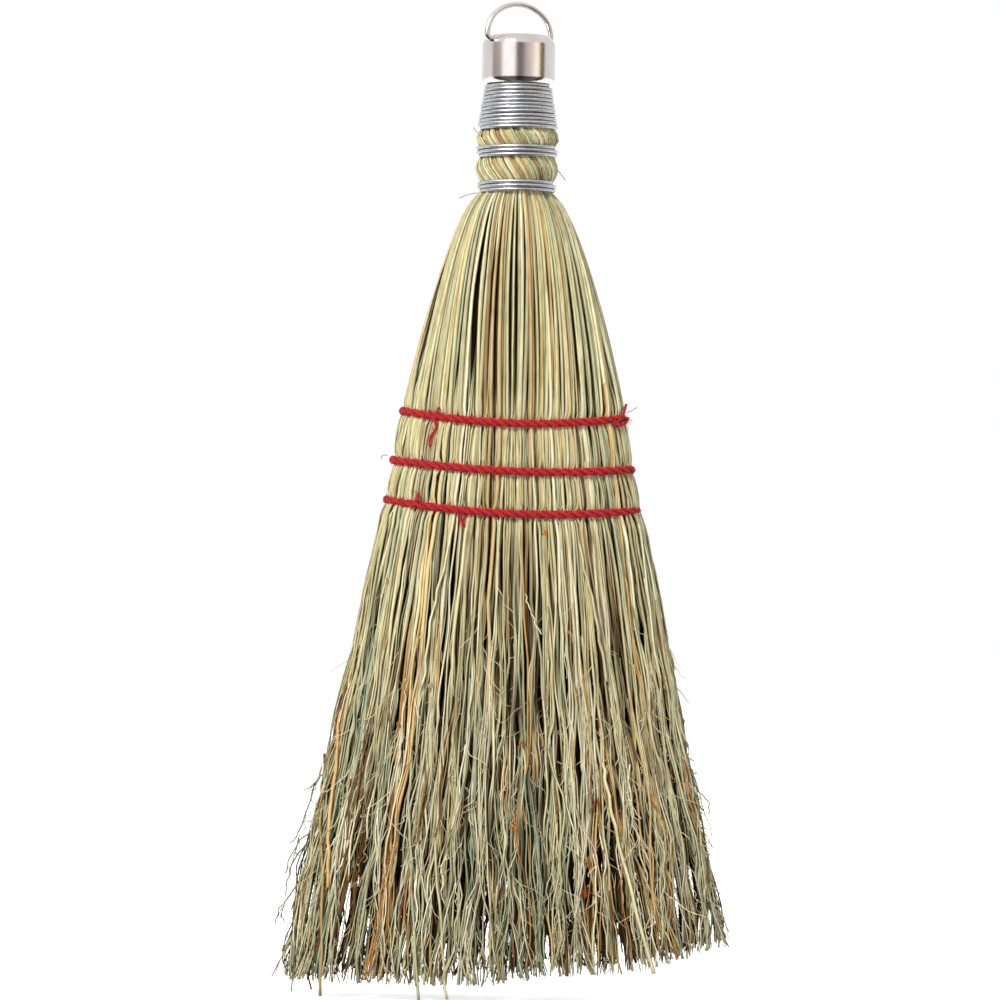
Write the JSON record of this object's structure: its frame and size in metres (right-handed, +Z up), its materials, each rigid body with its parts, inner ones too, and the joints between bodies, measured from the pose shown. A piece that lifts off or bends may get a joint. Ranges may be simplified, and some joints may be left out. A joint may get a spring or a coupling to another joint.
{
  "type": "whisk broom",
  "caption": "Hand broom of sewn straw: a flat flared brush, a wire-bound neck and a metal cap with a swinging hang ring.",
  "frame": {"origin": "middle of the trimmed tips, on the surface that the broom stands on", "axes": "+Z up along the neck towards the hang ring, +X to the right seen from the front, -Y towards the front face"},
  "size_m": [0.1363, 0.037, 0.305],
  "materials": {
    "straw": "dried straw, satin",
    "inner_straw": "dried straw, matt",
    "wire": "galvanised",
    "twine": "twisted cotton",
    "cap": "polished nickel",
    "tack": "bright",
    "ring": "nickel plated wire"
  },
  "bodies": {
    "broom": {"straw_core": "inner_straw", "left_edge_bundle": "straw", "right_edge_bundle": "straw", "front_bundle_01": "straw", "front_bundle_02": "straw", "front_bundle_03": "straw", "front_bundle_04": "straw", "front_bundle_05": "straw", "front_bundle_06": "straw", "front_bundle_07": "straw", "front_bundle_08": "straw", "front_bundle_09": "straw", "front_bundle_10": "straw", "front_bundle_11": "straw", "front_bundle_12": "straw", "front_bundle_13": "straw", "front_bundle_14": "straw", "back_bundle_01": "straw", "back_bundle_02": "straw", "back_bundle_03": "straw", "back_bundle_04": "straw", "back_bundle_05": "straw", "back_bundle_06": "straw", "back_bundle_07": "straw", "back_bundle_08": "straw", "back_bundle_09": "straw", "back_bundle_10": "straw", "back_bundle_11": "straw", "back_bundle_12": "straw", "back_bundle_13": "straw", "back_bundle_14": "straw", "neck_winding_wire": "wire", "middle_band_wire": "wire", "lower_band_wire": "wire", "upper_twine_turns": "twine", "upper_twine_stitches": "twine", "middle_twine_turns": "twine", "middle_twine_stitches": "twine", "lower_twine_turns": "twine", "lower_twine_stitches": "twine", "cap": "cap", "cap_tack": "tack"},
    "ring": {"hang_ring": "ring"}
  },
  "joints": [
    {"name": "ring_swing", "type": "hinge", "parent": "broom", "child": "ring", "pos_m": [0, 0, 0.2932], "axis": [0.788, 0.6157, 0], "range_deg": [-80, 80]}
  ]
}
